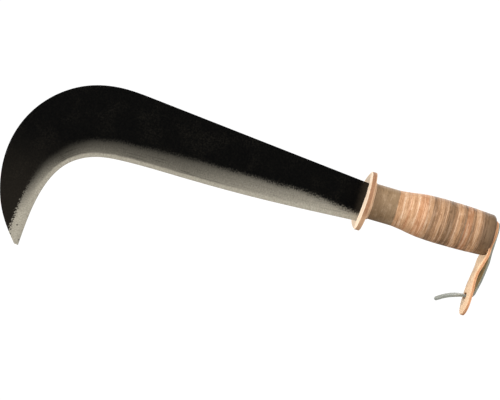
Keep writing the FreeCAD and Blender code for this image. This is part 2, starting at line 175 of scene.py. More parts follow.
def nearest_length(line, point):
    along = lengths_along(line)
    return along[np.argmin(np.linalg.norm(line - np.array(point), axis=1))]


def smooth_step(value, start, end):
    share = np.clip((value - start) / (end - start), 0.0, 1.0)
    return share * share * (3 - 2 * share)


def ripple(points, scale, seed):
    """Smooth noise from -1 to 1 at each point, with features about one over scale across."""
    shift = Vector((seed * 7.3, seed * 3.1, seed * 5.7))
    return np.array([noise.noise(Vector(point) * scale + shift) for point in points])


# ---- meshes ----


def new_piece(name, vertices, faces, attributes, material, sharp=38.0, normals=None):
    """A smooth-shaded mesh object with float attributes on its vertices, in metres from millimetres.

    Given normals are its shading normals, one at each vertex. Without them, edges past sharp stay sharp.
    """
    mesh = bpy.data.meshes.new(name)
    mesh.from_pydata([tuple(point) for point in np.asarray(vertices) * MM], [], faces)
    for label, values in attributes.items():
        layer = mesh.attributes.new(label, "FLOAT", "POINT")
        layer.data.foreach_set("value", np.asarray(values, np.float32))
    work = bmesh.new()
    work.from_mesh(mesh)
    bmesh.ops.recalc_face_normals(work, faces=work.faces)
    work.to_mesh(mesh)
    work.free()
    mesh.shade_smooth()
    if normals is None:
        mesh.set_sharp_from_angle(angle=math.radians(sharp))
    else:
        mesh.normals_split_custom_set_from_vertices(normals)
    mesh.materials.append(material)
    piece = bpy.data.objects.new(name, mesh)
    bpy.context.scene.collection.objects.link(piece)
    return piece


def skin_faces(rings, size, joined):
    """Quads between neighbouring closed rings of one size; joined also ties the last ring to the first."""
    faces = []
    for ring in range(rings if joined else rings - 1):
        here = ring * size
        there = (ring + 1) % rings * size
        for place in range(size):
            following = (place + 1) % size
            faces.append((here + place, here + following, there + following, there + place))
    return faces


def inside_loop(points, loop):
    """Which of the points lie inside a closed loop, by counting crossings."""
    x, y = points[:, 0][:, None], points[:, 1][:, None]
    x1, y1 = loop[:, 0], loop[:, 1]
    x2, y2 = np.roll(x1, -1), np.roll(y1, -1)
    between = (y1 > y) != (y2 > y)
    with np.errstate(divide="ignore", invalid="ignore"):
        crossing = x1 + (y - y1) * (x2 - x1) / (y2 - y1)
    return (between & (x < crossing)).sum(axis=1) % 2 == 1


def loop_normals(loop):
    """Unit vectors square to a closed loop, pointing to its right as it runs."""
    along = np.roll(loop, -1, axis=0) - np.roll(loop, 1, axis=0)
    square = np.stack([along[:, 1], -along[:, 0]], axis=1)
    return square / np.linalg.norm(square, axis=1)[:, None]


def sheet_piece(name, outline, holes, half, rounding, spacing, place, material):
    """A flat sheet with holes and rounded rims, laid out flat and put in space by place(a, b, t).

    The outline runs anticlockwise and the holes clockwise, so that each loop's right side is the open side.
    """
    loops = [outline] + holes
    insets = [loop - rounding * loop_normals(loop) for loop in loops]
    low, high = outline.min(axis=0), outline.max(axis=0)
    rows = np.arange(low[1], high[1], spacing * 0.87)
    grid = []
    for number, row in enumerate(rows):
        start = low[0] + (number % 2) * spacing / 2
        grid += [(column, row) for column in np.arange(start, high[0], spacing)]
    grid = np.array(grid)
    keep = inside_loop(grid, insets[0])
    for hole in insets[1:]:
        keep &= ~inside_loop(grid, hole)
    rim = np.concatenate(insets)
    for number, point in enumerate(grid):
        if keep[number] and np.min(np.linalg.norm(rim - point, axis=1)) < 0.6 * spacing:
            keep[number] = False
    flat = np.concatenate([rim, grid[keep]])
    edges = []
    start = 0
    for loop in insets:
        size = len(loop)
        edges += [(start + i, start + (i + 1) % size) for i in range(size)]
        start += size
    made = delaunay_2d_cdt([Vector(point) for point in flat], edges, [], 0, 1e-7)
    origin = [source[0] for source in made[3]]
    triangles = np.array([[origin[corner] for corner in face] for face in made[2]])
    middles = flat[triangles].mean(axis=1)
    wanted = inside_loop(middles, insets[0])
    for hole in insets[1:]:
        wanted &= ~inside_loop(middles, hole)
    triangles = triangles[wanted]

    count = len(flat)
    plane = [flat, flat]
    level = [np.full(count, half), np.full(count, -half)]
    rimness = [np.zeros(count), np.zeros(count)]
    lean = [np.tile((0.0, 0.0, 1.0), (count, 1)), np.tile((0.0, 0.0, -1.0), (count, 1))]
    faces = [tuple(face) for face in triangles] + [tuple(face[::-1] + count) for face in triangles]
    total = 2 * count
    start = 0
    bends = 4
    turns = [math.pi / 2 * step / bends for step in range(1, bends + 1)]
    steps = [(math.sin(turn), math.cos(turn), half - rounding + rounding * math.cos(turn)) for turn in turns]
    steps += [(reach, -rise, -height) for reach, rise, height in reversed(steps)]
    for loop, inset in zip(loops, insets):
        size = len(loop)
        normals = loop_normals(loop)
        rows = [np.arange(start, start + size)]
        for reach, rise, height in steps:
            plane.append(inset + rounding * reach * normals)
            level.append(np.full(size, height))
            rimness.append(np.full(size, reach))
            lean.append(np.column_stack([reach * normals, np.full(size, rise)]))
            rows.append(np.arange(total, total + size))
            total += size
        rows.append(np.arange(count + start, count + start + size))
        for upper, lower in zip(rows, rows[1:]):
            following = np.roll(upper, -1), np.roll(lower, -1)
            faces += [tuple(face) for face in np.stack([upper, lower, following[1], following[0]], axis=1)]
        start += size
    flat = np.column_stack([np.concatenate(plane), np.concatenate(level)])
    outside = flat + 0.01 * np.concatenate(lean)
    points = place(flat[:, 0], flat[:, 1], flat[:, 2])
    away = place(outside[:, 0], outside[:, 1], outside[:, 2]) - points
    away /= np.linalg.norm(away, axis=1)[:, None]
    attributes = {"rim": np.concatenate(rimness), "layer": flat[:, 2] / half}
    return new_piece(name, points, faces, attributes, material, normals=away)


# ---- node materials ----


def tone(red, green, blue):
    """An opaque colour from its 8-bit display values."""
    def linear(value):
        share = value / 255
        return share / 12.92 if share <= 0.04045 else ((share + 0.055) / 1.055) ** 2.4
    return (linear(red), linear(green), linear(blue), 1.0)


class Material:
    """A node material under construction: each method adds one node and returns its output socket."""

    def __init__(self, name):
        self.made = bpy.data.materials.new(name)
        self.made.use_nodes = True
        self.tree = self.made.node_tree
        self.shader = self.tree.nodes["Principled BSDF"]

    def node(self, kind, inputs, **settings):
        made = self.tree.nodes.new(kind)
        for key, value in settings.items():
            setattr(made, key, value)
        for key, value in inputs.items():
            if isinstance(value, bpy.types.NodeSocket):
                self.tree.links.new(value, made.inputs[key])
            else:
                made.inputs[key].default_value = value
        return made

    def place(self, stretch=(1.0, 1.0, 1.0), shift=(0.0, 0.0, 0.0)):
        """The object's own coordinates in millimetres, stretched along its axes."""
        where = self.node("ShaderNodeTexCoord", {}).outputs["Object"]
        scale = tuple(value / MM for value in stretch)
        inputs = {"Vector": where, "Scale": scale, "Location": shift}
        return self.node("ShaderNodeMapping", inputs).outputs[0]

    def attribute(self, name):
        return self.node("ShaderNodeAttribute", {}, attribute_name=name).outputs["Fac"]

    def combine(self, x, y, z=0.0):
        return self.node("ShaderNodeCombineXYZ", {"X": x, "Y": y, "Z": z}).outputs[0]

    def noise(self, vector, scale, detail=3.0, rough=0.55):
        inputs = {"Vector": vector, "Scale": scale, "Detail": detail, "Roughness": rough}
        return self.node("ShaderNodeTexNoise", inputs).outputs["Fac"]

    def cells(self, vector, scale):
        return self.node("ShaderNodeTexVoronoi", {"Vector": vector, "Scale": scale}).outputs["Distance"]

    def math(self, operation, first, second=0.0, clamp=False):
        inputs = {0: first, 1: second}
        return self.node("ShaderNodeMath", inputs, operation=operation, use_clamp=clamp).outputs[0]

    def spread(self, value, low, high, to_low=0.0, to_high=1.0, kind="SMOOTHSTEP"):
        inputs = {"Value": value, "From Min": low, "From Max": high, "To Min": to_low, "To Max": to_high}
        return self.node("ShaderNodeMapRange", inputs, interpolation_type=kind).outputs["Result"]

    def mix(self, share, first, second, blend="MIX"):
        made = self.node("ShaderNodeMix", {}, data_type="RGBA", blend_type=blend)
        for key, value in ((0, share), (6, first), (7, second)):
            if isinstance(value, bpy.types.NodeSocket):
                self.tree.links.new(value, made.inputs[key])
            else:
                made.inputs[key].default_value = value
        return made.outputs[2]

    def set(self, **inputs):
        """Sets or links the shader's own sockets, whose names are given with underscores for spaces."""
        for key, value in inputs.items():
            socket = self.shader.inputs[key.replace("_", " ")]
            if isinstance(value, bpy.types.NodeSocket):
                self.tree.links.new(value, socket)
            else:
                socket.default_value = value

    def bump(self, height, distance, strength=1.0, under=None):
        inputs = {"Height": height, "Distance": distance * MM, "Strength": strength}
        if under:
            inputs["Normal"] = under
        return self.node("ShaderNodeBump", inputs).outputs[0]


def blade_material():
    """Black forge scale, and a ground bevel whose scratches run square to the edge."""
    steel = Material("blade_steel")
    across = steel.attribute("edge_distance")
    along = steel.attribute("edge_along")
    depth = steel.attribute("bevel_depth")
    where = steel.place()
    scratches = steel.noise(steel.combine(along, steel.math("MULTIPLY", across, 0.12)), 1.5, 4.0, 0.7)
    specks = steel.noise(steel.combine(along, steel.math("MULTIPLY", across, 0.6)), 1.0, 3.0, 0.6)
    waves = steel.noise(where, 0.07, 2.0)
    stripes = steel.noise(steel.combine(steel.math("MULTIPLY", along, 0.03), across), 1.2, 2.0)

    fringe = steel.math("MULTIPLY", steel.math("SUBTRACT", specks, 0.5), 12.0)
    wander = steel.math("MULTIPLY", steel.math("SUBTRACT", waves, 0.5), 3.0)
    line = steel.math("ADD", steel.math("ADD", depth, fringe), wander)
    softness = steel.attribute("softness")
    upper = steel.math("MULTIPLY", softness, 2.0)
    lower = steel.math("MULTIPLY", softness, -4.0)
    ground = steel.spread(line, upper, lower)

    share = steel.attribute("bevel_share")
    low, high = steel.attribute("low_grey"), steel.attribute("high_grey")
    level = steel.spread(share, 0.0, 1.0, low, high, "LINEAR")
    hone = steel.spread(steel.math("ADD", across, steel.math("MULTIPLY", waves, 2.0)), 5.6, 3.6)
    level = steel.spread(hone, 0.0, 1.0, level, 0.59, "LINEAR")
    level = steel.spread(steel.spread(across, 0.75, 0.35), 0.0, 1.0, level, 0.57, "LINEAR")
    level = steel.math("MULTIPLY", level, steel.spread(scratches, 0.3, 0.7, 0.95, 1.05))
    level = steel.math("MULTIPLY", level, steel.spread(specks, 0.3, 0.7, 0.92, 1.08))
    in_bevel = steel.math("MULTIPLY", steel.spread(across, 3.6, 4.6), steel.spread(across, 12.0, 9.0))
    marks = steel.math("MULTIPLY", steel.spread(stripes, 0.56, 0.66), in_bevel)
    marked = steel.math("MULTIPLY", marks, softness)
    level = steel.math("MULTIPLY", level, steel.spread(marked, 0.0, 1.0, 1.0, 0.8))
    level = steel.math("MULTIPLY", level, steel.spread(steel.attribute("pits"), 0.3, 0.8, 1.0, 0.55))
    light = steel.math("POWER", level, 2.2)
    red, green, blue = (steel.math("MULTIPLY", light, part) for part in (1.13, 1.04, 0.84))
    grey = steel.combine(red, green, blue)

    patches = steel.spread(steel.noise(where, 0.045, 3.0, 0.5), 0.44, 0.68, 0.3, 1.0)
    flecks = steel.spread(steel.noise(where, 0.8, 4.0, 0.7), 0.42, 0.66)
    scale = steel.mix(steel.math("MULTIPLY", patches, flecks), tone(4, 4, 4), tone(24, 22, 18))
    # The scale is lightened towards the bottom as painted sheen, and tinted brown near the heel.
    brown_tint_and_sheen = steel.math("MULTIPLY", steel.attribute("brown_tint_and_sheen"), steel.spread(flecks, 0.0, 1.0, 0.75, 1.0))
    scale = steel.mix(brown_tint_and_sheen, scale, tone(47, 42, 35))
    grain = steel.noise(where, 1.6, 5.0, 0.7)
    dents = steel.noise(where, 0.16, 2.0, 0.5)
    rough_scale = steel.math("MULTIPLY", grain, steel.spread(ground, 0.0, 1.0, 1.0, 0.1))
    relief = steel.bump(steel.math("ADD", dents, rough_scale), 0.12, 0.7)
    relief = steel.bump(scratches, 0.04, steel.spread(ground, 0.0, 1.0, 0.0, 0.5), relief)
    steel.set(
        Base_Color=steel.mix(ground, scale, grey),
        Metallic=steel.math("MULTIPLY", ground, 0.5),
        Roughness=steel.spread(ground, 0.0, 1.0, 0.6, 0.45),
        Specular_IOR_Level=0.02,
        Normal=relief,
    )
    return steel.made


def hook_material():
    """Dull bare steel with dark streaks, painted shade on its rounded rims, and a pale olive painted
    reflection of the leather where the shank faces the strap.
    """
    steel = Material("hook_bare_steel")
    where = steel.place()
    blots = steel.noise(where, 0.3, 3.0, 0.5)
    lines = steel.noise(steel.place((0.1, 1.2, 0.1)), 1.0, 2.0, 0.5)
    height = steel.node("ShaderNodeSeparateXYZ", {"Vector": where}).outputs["Z"]
    # Painted reflected light: the shank's face towards the strap is painted a pale olive, standing in for
    # light thrown back by the leather into the shaded gap.
    inner_side = steel.spread(steel.attribute("layer"), -0.5, -0.9)
    painted_leather_bounce = steel.math("MULTIPLY", inner_side, steel.spread(height, -54.0, -50.0))
    colour = steel.mix(steel.spread(blots, 0.35, 0.68), tone(146, 149, 140), tone(163, 166, 157))
    colour = steel.mix(steel.spread(lines, 0.45, 0.75, 0.0, 0.15), colour, tone(96, 90, 78))
    colour = steel.mix(painted_leather_bounce, colour, tone(192, 190, 162))
    # Painted shade: the strip's rounded rims are painted darker, as they turn away from the light.
    side = steel.spread(steel.attribute("rim"), 0.4, 0.9, 0.0, 0.22)
    colour = steel.mix(side, colour, tone(70, 68, 58))
    steel.set(
        Base_Color=colour,
        Metallic=0.2,
        Roughness=0.6,
        Specular_IOR_Level=0.3,
        Normal=steel.bump(lines, 0.02, 0.2),
    )
    return steel.made


def tang_material():
    """Black scale on the tang's stem and dull bare steel on its peened head."""
    steel = Material("tang_steel")
    grain = steel.noise(steel.place(), 1.0, 3.0, 0.5)
    scale = steel.mix(grain, tone(14, 13, 12), tone(44, 38, 32))
    head = steel.mix(grain, tone(142, 145, 136), tone(166, 169, 160))
    steel.set(
        Base_Color=steel.mix(steel.attribute("bare"), scale, head),
        Metallic=0.2,
        Roughness=0.6,
        Specular_IOR_Level=0.2,
    )
    return steel.made


def edge_leather(name, main, dark, pale, seed, bands=1.0, patches=1.0):
    """The cut edge of stacked leather, sanded and waxed: thin bands, fibres along the edge, and blotches."""
    leather = Material(name)
    fibres = leather.noise(leather.place((3.2, 0.5, 0.5), (seed, 0.0, seed)), 1.0, 4.0, 0.7)
    layers = leather.noise(leather.place((2.4, 0.07, 0.07), (0.0, seed, 0.0)), 1.0, 2.0, 0.5)
    lines = leather.noise(leather.place((1.5, 0.03, 0.03), (seed, 0.0, 0.0)), 1.0, 2.0, 0.5)
    blots = leather.noise(leather.place((0.3, 0.16, 0.16)), 1.0, 4.0, 0.65)
    pores = leather.cells(leather.place((1.6, 1.0, 1.0)), 1.2)
    own = leather.attribute("lightness")
    colour = leather.mix(leather.spread(layers, 0.35, 0.52, bands, 0.0), main, dark)
    colour = leather.mix(leather.spread(lines, 0.54, 0.64, 0.0, 0.8 * bands), colour, pale)
    colour = leather.mix(leather.spread(blots, 0.52, 0.7, 0.0, 0.5 * patches), colour, pale)
    colour = leather.mix(leather.spread(blots, 0.48, 0.3, 0.0, 0.6 * patches), colour, dark)
    colour = leather.mix(leather.spread(fibres, 0.5, 0.7, 0.0, 0.7 * bands), colour, dark)
    colour = leather.mix(leather.spread(pores, 0.14, 0.02, 0.0, 0.4), colour, dark)
    colour = leather.mix(1.0, colour, leather.combine(own, own, own), "MULTIPLY")
    leather.set(
        Base_Color=colour,
        Roughness=leather.spread(blots, 0.3, 0.7, 0.5, 0.65),
        Specular_IOR_Level=0.3,
        Normal=leather.bump(leather.math("ADD", fibres, leather.math("MULTIPLY", pores, 0.4)), 0.08, 0.6),
    )
    return leather.made


def guard_material():
    """Thick veg-tanned leather: a smooth pale grain face and a brown, fibrous cut rim."""
    leather = Material("guard_leather")
    on_rim = leather.spread(leather.attribute("rim"), 0.3, 0.7)
    behind = leather.attribute("behind")
    fibres = leather.noise(leather.place((3.4, 0.4, 0.4)), 1.0, 4.0, 0.7)
    clouds = leather.noise(leather.place(), 0.11, 4.0, 0.6)
    specks = leather.noise(leather.place(), 1.1, 4.0, 0.7)
    face = leather.mix(leather.spread(clouds, 0.38, 0.72), tone(244, 220, 194), tone(236, 206, 174))
    face = leather.mix(leather.spread(specks, 0.6, 0.8, 0.0, 0.15), face, tone(206, 166, 130))
    rim = leather.mix(leather.spread(fibres, 0.38, 0.66), tone(136, 97, 69), tone(176, 131, 97))
    rim = leather.mix(leather.spread(behind, 0.72, 0.95, 0.0, 0.7), rim, tone(214, 172, 134))
    # Painted light: the lower part of the rim is painted paler, as if lit from below.
    height = leather.node("ShaderNodeSeparateXYZ", {"Vector": leather.place()}).outputs["Z"]
    rim = leather.mix(leather.spread(height, -10.0, -20.0, 0.0, 0.6), rim, tone(224, 182, 144))
    rim = leather.mix(leather.spread(specks, 0.6, 0.72, 0.0, 0.7), rim, tone(104, 70, 48))
    leather.set(
        Base_Color=leather.mix(on_rim, face, rim),
        Roughness=leather.spread(on_rim, 0.0, 1.0, 0.5, 0.72),
        Specular_IOR_Level=0.3,
        Normal=leather.bump(
            leather.math("ADD", fibres, specks), 0.07, leather.spread(on_rim, 0.0, 1.0, 0.2, 0.6)
        ),
    )
    return leather.made


def strap_material():
    """Smooth pale leather whose cut rim shows a brown line between two paler layers."""
    leather = Material("strap_leather")
    on_rim = leather.spread(leather.attribute("rim"), 0.4, 0.85)
    layer = leather.attribute("layer")
    clouds = leather.noise(leather.place(), 0.13, 3.0, 0.5)
    fibres = leather.noise(leather.place((0.7, 1.5, 0.3)), 1.0, 4.0, 0.6)
    face = leather.mix(leather.spread(clouds, 0.35, 0.7), tone(237, 202, 165), tone(233, 197, 159))
    # Painted light: the face near the grip, from Z -34 up, is painted paler to lift the shadow the grip
    # casts on it.
    height = leather.node("ShaderNodeSeparateXYZ", {"Vector": leather.place()}).outputs["Z"]
    face = leather.mix(leather.spread(height, -34.0, -26.0), face, tone(255, 219, 178))
    wobble = leather.math("MULTIPLY", leather.math("SUBTRACT", fibres, 0.5), 0.9)
    place_in_rim = leather.math("ADD", layer, wobble)
    core = leather.spread(leather.math("ABSOLUTE", leather.math("SUBTRACT", place_in_rim, 0.1)), 0.38, 0.12)
    outer = leather.spread(place_in_rim, 0.45, 0.8)
    rim = leather.mix(core, tone(218, 166, 124), tone(176, 122, 84))
    rim = leather.mix(outer, rim, tone(218, 150, 102))
    leather.set(
        Base_Color=leather.mix(on_rim, face, rim),
        Roughness=leather.spread(on_rim, 0.0, 1.0, 0.5, 0.7),
        Specular_IOR_Level=0.3,
        Normal=leather.bump(fibres, 0.01, 0.2),
    )
    return leather.made


# Each kind of leather edge: its main tone, the tone of its dark bands and of its pale ones.
EDGE_TONES = {
    "tan": (tone(194, 151, 112), tone(146, 104, 68), tone(224, 188, 156)),
    "light": (tone(210, 164, 123), tone(166, 118, 78), tone(242, 208, 176)),
    "cream": (tone(220, 175, 134), tone(178, 128, 86), tone(246, 218, 188)),
    "salmon": (tone(205, 150, 107), tone(162, 106, 66), tone(234, 192, 156)),
    "brown": (tone(164, 125, 90), tone(116, 82, 52), tone(196, 162, 132)),
    "dark": (tone(136, 104, 74), tone(92, 66, 42), tone(164, 134, 106)),
    "collar": (tone(151, 123, 91), tone(122, 96, 66), tone(174, 148, 118)),
    "butt": (tone(124, 96, 68), tone(94, 70, 46), tone(144, 118, 92)),
}


# ---- grip, guard and collar ----


def node_rim(node, front):
    """Radius in millimetres of a CAD disc's contour at its front or its back face."""
    low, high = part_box(node)
    place = low.x if front else high.x
    points = np.array([vertex.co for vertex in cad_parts[node].data.vertices])
    near = np.abs(points[:, 0] - place) < 0.02 * MM
    return np.hypot(points[near, 1], points[near, 2]).max() / MM


def slab(node):
    low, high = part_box(node)
    return low.x / MM, high.x / MM


def tang_hole(angles):
    """Distance from the axis to the tang's rectangular hole in each direction."""
    half_thickness = 2.2
    half_height = 5.5
    across = np.maximum(np.abs(np.sin(angles)), 1e-9)
    upward = np.maximum(np.abs(np.cos(angles)), 1e-9)
    return np.minimum(half_thickness / across, half_height / upward)


def seam_wave(seed):
    """How far a seam between two washers wanders along X with the angle about the grip, in millimetres."""
    dice = random.Random(seed)
    parts = [(dice.uniform(0.05, 0.13), count, dice.uniform(0, 2 * math.pi)) for count in (1, 2, 3, 5, 8)]

    def wave(angles):
        return sum(size * np.sin(count * angles + turn) for size, count, turn in parts)
    return wave


def disc_piece(
    name, rows, material, lightness=(1.0, 1.0), front_wave=None, back_wave=None, turns=192, warp=None
):
    """A ring about the tang. Rows are (X, radius, rim, share of the back's wave), from the front hole out.

    A radius of zero stands for the tang's hole. Lightness is given at the front and at the back.
    """
    angles = np.linspace(0, 2 * math.pi, turns, endpoint=False)
    outer = max(radius for x, radius, rim, share in rows)
    hole = tang_hole(angles)
    flat = np.zeros(turns)
    front = front_wave(angles) if front_wave else flat
    back = back_wave(angles) if back_wave else flat
    first, last = rows[0][0], rows[-1][0]
    rings = []
    rims = []
    behind = []
    for x, radius, rim, share in rows:
        reach = np.maximum(hole, radius) if radius else hole
        fade = smooth_step(reach / outer, 0.4, 1.0)
        moved = x + fade * ((1 - share) * front + share * back)
        rings.append(np.stack([moved, reach * np.sin(angles), reach * np.cos(angles)], axis=1))
        rims.append(np.full(turns, rim))
        behind.append(np.full(turns, (x - first) / (last - first)))
    vertices = np.concatenate(rings)
    if warp:
        vertices = warp(vertices)
    behind = np.concatenate(behind)
    attributes = {
        "rim": np.concatenate(rims),
        "behind": behind,
        "lightness": lightness[0] + (lightness[1] - lightness[0]) * behind,
    }
    faces = skin_faces(len(rows), turns, joined=True)
    return new_piece(name, vertices, faces, attributes, material)


def grip_rows(front, back, radius_front, radius_back, corner, steps=3):
    """Rows of a plain washer: hole, front face, small rounded corner, sanded contour, corner, back face."""
    rows = [(front, 0.0, 0.0, 0.0), (front, 0.6 * radius_front, 0.0, 0.0)]
    for step in range(steps + 1):
        turn = math.pi / 2 * step / steps
        x = front + corner * (1 - math.cos(turn))
        rows.append((x, radius_front - corner * (1 - math.sin(turn)), math.sin(turn), 0.0))
    for share in (0.25, 0.5, 0.75):
        x = front + corner + share * (back - front - 2 * corner)
        rows.append((x, radius_front + share * (radius_back - radius_front), 1.0, share))
    for step in range(steps, -1, -1):
        turn = math.pi / 2 * step / steps
        x = back - corner * (1 - math.cos(turn))
        rows.append((x, radius_back - corner * (1 - math.sin(turn)), math.sin(turn), 1.0))
    rows += [(back, 0.6 * radius_back, 0.0, 1.0), (back, 0.0, 0.0, 1.0)]
    return rows


def ride_and_replace(piece, body, slot, *nodes):
    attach(piece, body)
    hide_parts(*nodes)


def make_grip():
    """Collar, washers and butt discs, each a ring of its own whose seams wander a little."""
    materials = {}
    for number, (label, colours) in enumerate(EDGE_TONES.items()):
        bands, patches = {"collar": (0.4, 1.6), "butt": (0.4, 1.2)}.get(label, (1.0, 1.0))
        materials[label] = edge_leather(f"leather_edge_{label}", *colours, 11.0 * number, bands, patches)
    dice = random.Random(4)
    # The collar is painted darker at its front, next to the guard, as painted shade.
    stack = [("collar", "collar", "leather_collar", 0.3, (0.84, 0.92))]
    for number, (label, shade) in enumerate(WASHERS, 1):
        light = SHADES[shade]
        stack.append((f"grip_washer_{number:02d}", label, f"leather_{label}", 0.1, (light, light)))
    stack.append(("butt_washer", "butt", "leather_dark", 0.2, (0.88, 0.88)))
    stack.append(("butt_cap", "butt", "leather_dark", 3.0, (0.78, 0.7)))
    for number, (node, label, slot, corner, lightness) in enumerate(stack):
        front, back = slab(node)
        worn = dice.uniform(0.0, 0.1)
        radius_front = node_rim(node, True) - worn
        radius_back = node_rim(node, False) - worn
        if node == "butt_cap":
            radius_back = radius_front
            rows = grip_rows(front, back, radius_front, radius_back, 0.2)
            rows = [row for row in rows if row[0] < back - corner]
            for step in range(9):
                turn = math.pi / 2 * step / 8
                x = back - corner + corner * math.sin(turn)
                rows.append((x, radius_back - corner * (1 - math.cos(turn)), math.cos(turn), 1.0))
            rows += [(back, 0.6 * radius_back, 0.0, 1.0), (back, 0.0, 0.0, 1.0)]
        else:
            rows = grip_rows(front, back, radius_front, radius_back, corner)
        front_wave = seam_wave(number) if number else None
        back_wave = seam_wave(number + 1) if node != "butt_cap" else None
        piece = disc_piece(f"{node}_leather", rows, materials[label], lightness, front_wave, back_wave)
        ride_and_replace(piece, "tool", slot, node)


def guard_warp(points):
    """The guard is curled to the blade, most on its far side and below, and pressed against the heel."""
    low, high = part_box("guard")
    front, back = low.x / MM, high.x / MM
    radius = (high.y - low.y) / 2 / MM
    middle = (high.z + low.z) / 2 / MM
    across = points[:, 1] / radius
    upward = (points[:, 2] - middle) / radius
    far = np.clip(across, 0.0, 1.0) ** 1.6
    below = np.clip(-upward, 0.0, 1.0)
    curl = far * (4.4 + 2.4 * below) + (1.26 + 0.74 * far) * below ** 1.3
    in_front = np.clip((back - points[:, 0]) / (back - front), 0.0, 1.0)
    up_heel = np.clip((points[:, 2] - HEEL_BOTTOM[1]) / (HEEL_TOP[1] - HEEL_BOTTOM[1]), 0.0, 1.0)
    gap = front - HEEL_BOTTOM[0] - up_heel * (HEEL_TOP[0] - HEEL_BOTTOM[0])
    pressed = gap * in_front * smooth_step(np.abs(points[:, 1]), 14.0, 3.0)
    moved = points.copy()
    moved[:, 0] -= np.maximum(curl, pressed)
    return moved


def make_guard():
    low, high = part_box("guard")
    front, back = low.x / MM, high.x / MM
    radius = (high.y - low.y) / 2 / MM
    drop = (high.z + low.z) / 2 / MM
    corner = 0.4
    faces = [share * radius for share in (0.3, 0.45, 0.6, 0.72, 0.83, 0.92)]
    rows = [(front, 0.0, 0.0, 0.0)] + [(front, reach, 0.0, 0.0) for reach in faces]
    for step in range(5):
        turn = math.pi / 2 * step / 4
        x = front + corner * (1 - math.cos(turn))
        rows.append((x, radius - corner * (1 - math.sin(turn)), math.sin(turn), 0.0))
    for share in (0.25, 0.5, 0.75):
        rows.append((front + corner + share * (back - front - 2 * corner), radius, 1.0, 0.5))
    for step in range(4, -1, -1):
        turn = math.pi / 2 * step / 4
        x = back - corner * (1 - math.cos(turn))
        rows.append((x, radius - corner * (1 - math.sin(turn)), math.sin(turn), 1.0))
    rows += [(back, reach, 0.0, 1.0) for reach in reversed(faces)] + [(back, 0.0, 0.0, 1.0)]

    def lowered_and_warped(points):
        lowered = points.copy()
        reach = np.hypot(points[:, 1], points[:, 2]) / radius
        lowered[:, 2] += drop * smooth_step(reach, 0.25, 0.9)
        return guard_warp(lowered)

    piece = disc_piece("guard_disc", rows, guard_material(), turns=224, warp=lowered_and_warped)
    ride_and_replace(piece, "tool", "leather_cream", "guard")

    cream = edge_leather(
        "washer_pale", tone(226, 194, 162), tone(204, 168, 134), tone(236, 208, 178), seed=91.0
    )
    dark = edge_leather(
        "washer_dark", tone(214, 178, 144), tone(184, 146, 112), tone(226, 192, 160), seed=93.0
    )
    for node, label, material in (
        ("guard_backing_washer", "leather_cream", cream),
        ("dark_spacer_washer", "leather_dark", dark),
    ):
        front, back = slab(node)
        radius = (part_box(node)[1].y / MM)
        rows = grip_rows(front, back, radius, radius, 0.3)
        piece = disc_piece(f"{node}_leather", rows, material)
        ride_and_replace(piece, "tool", label, node)


# ---- blade and tang ----


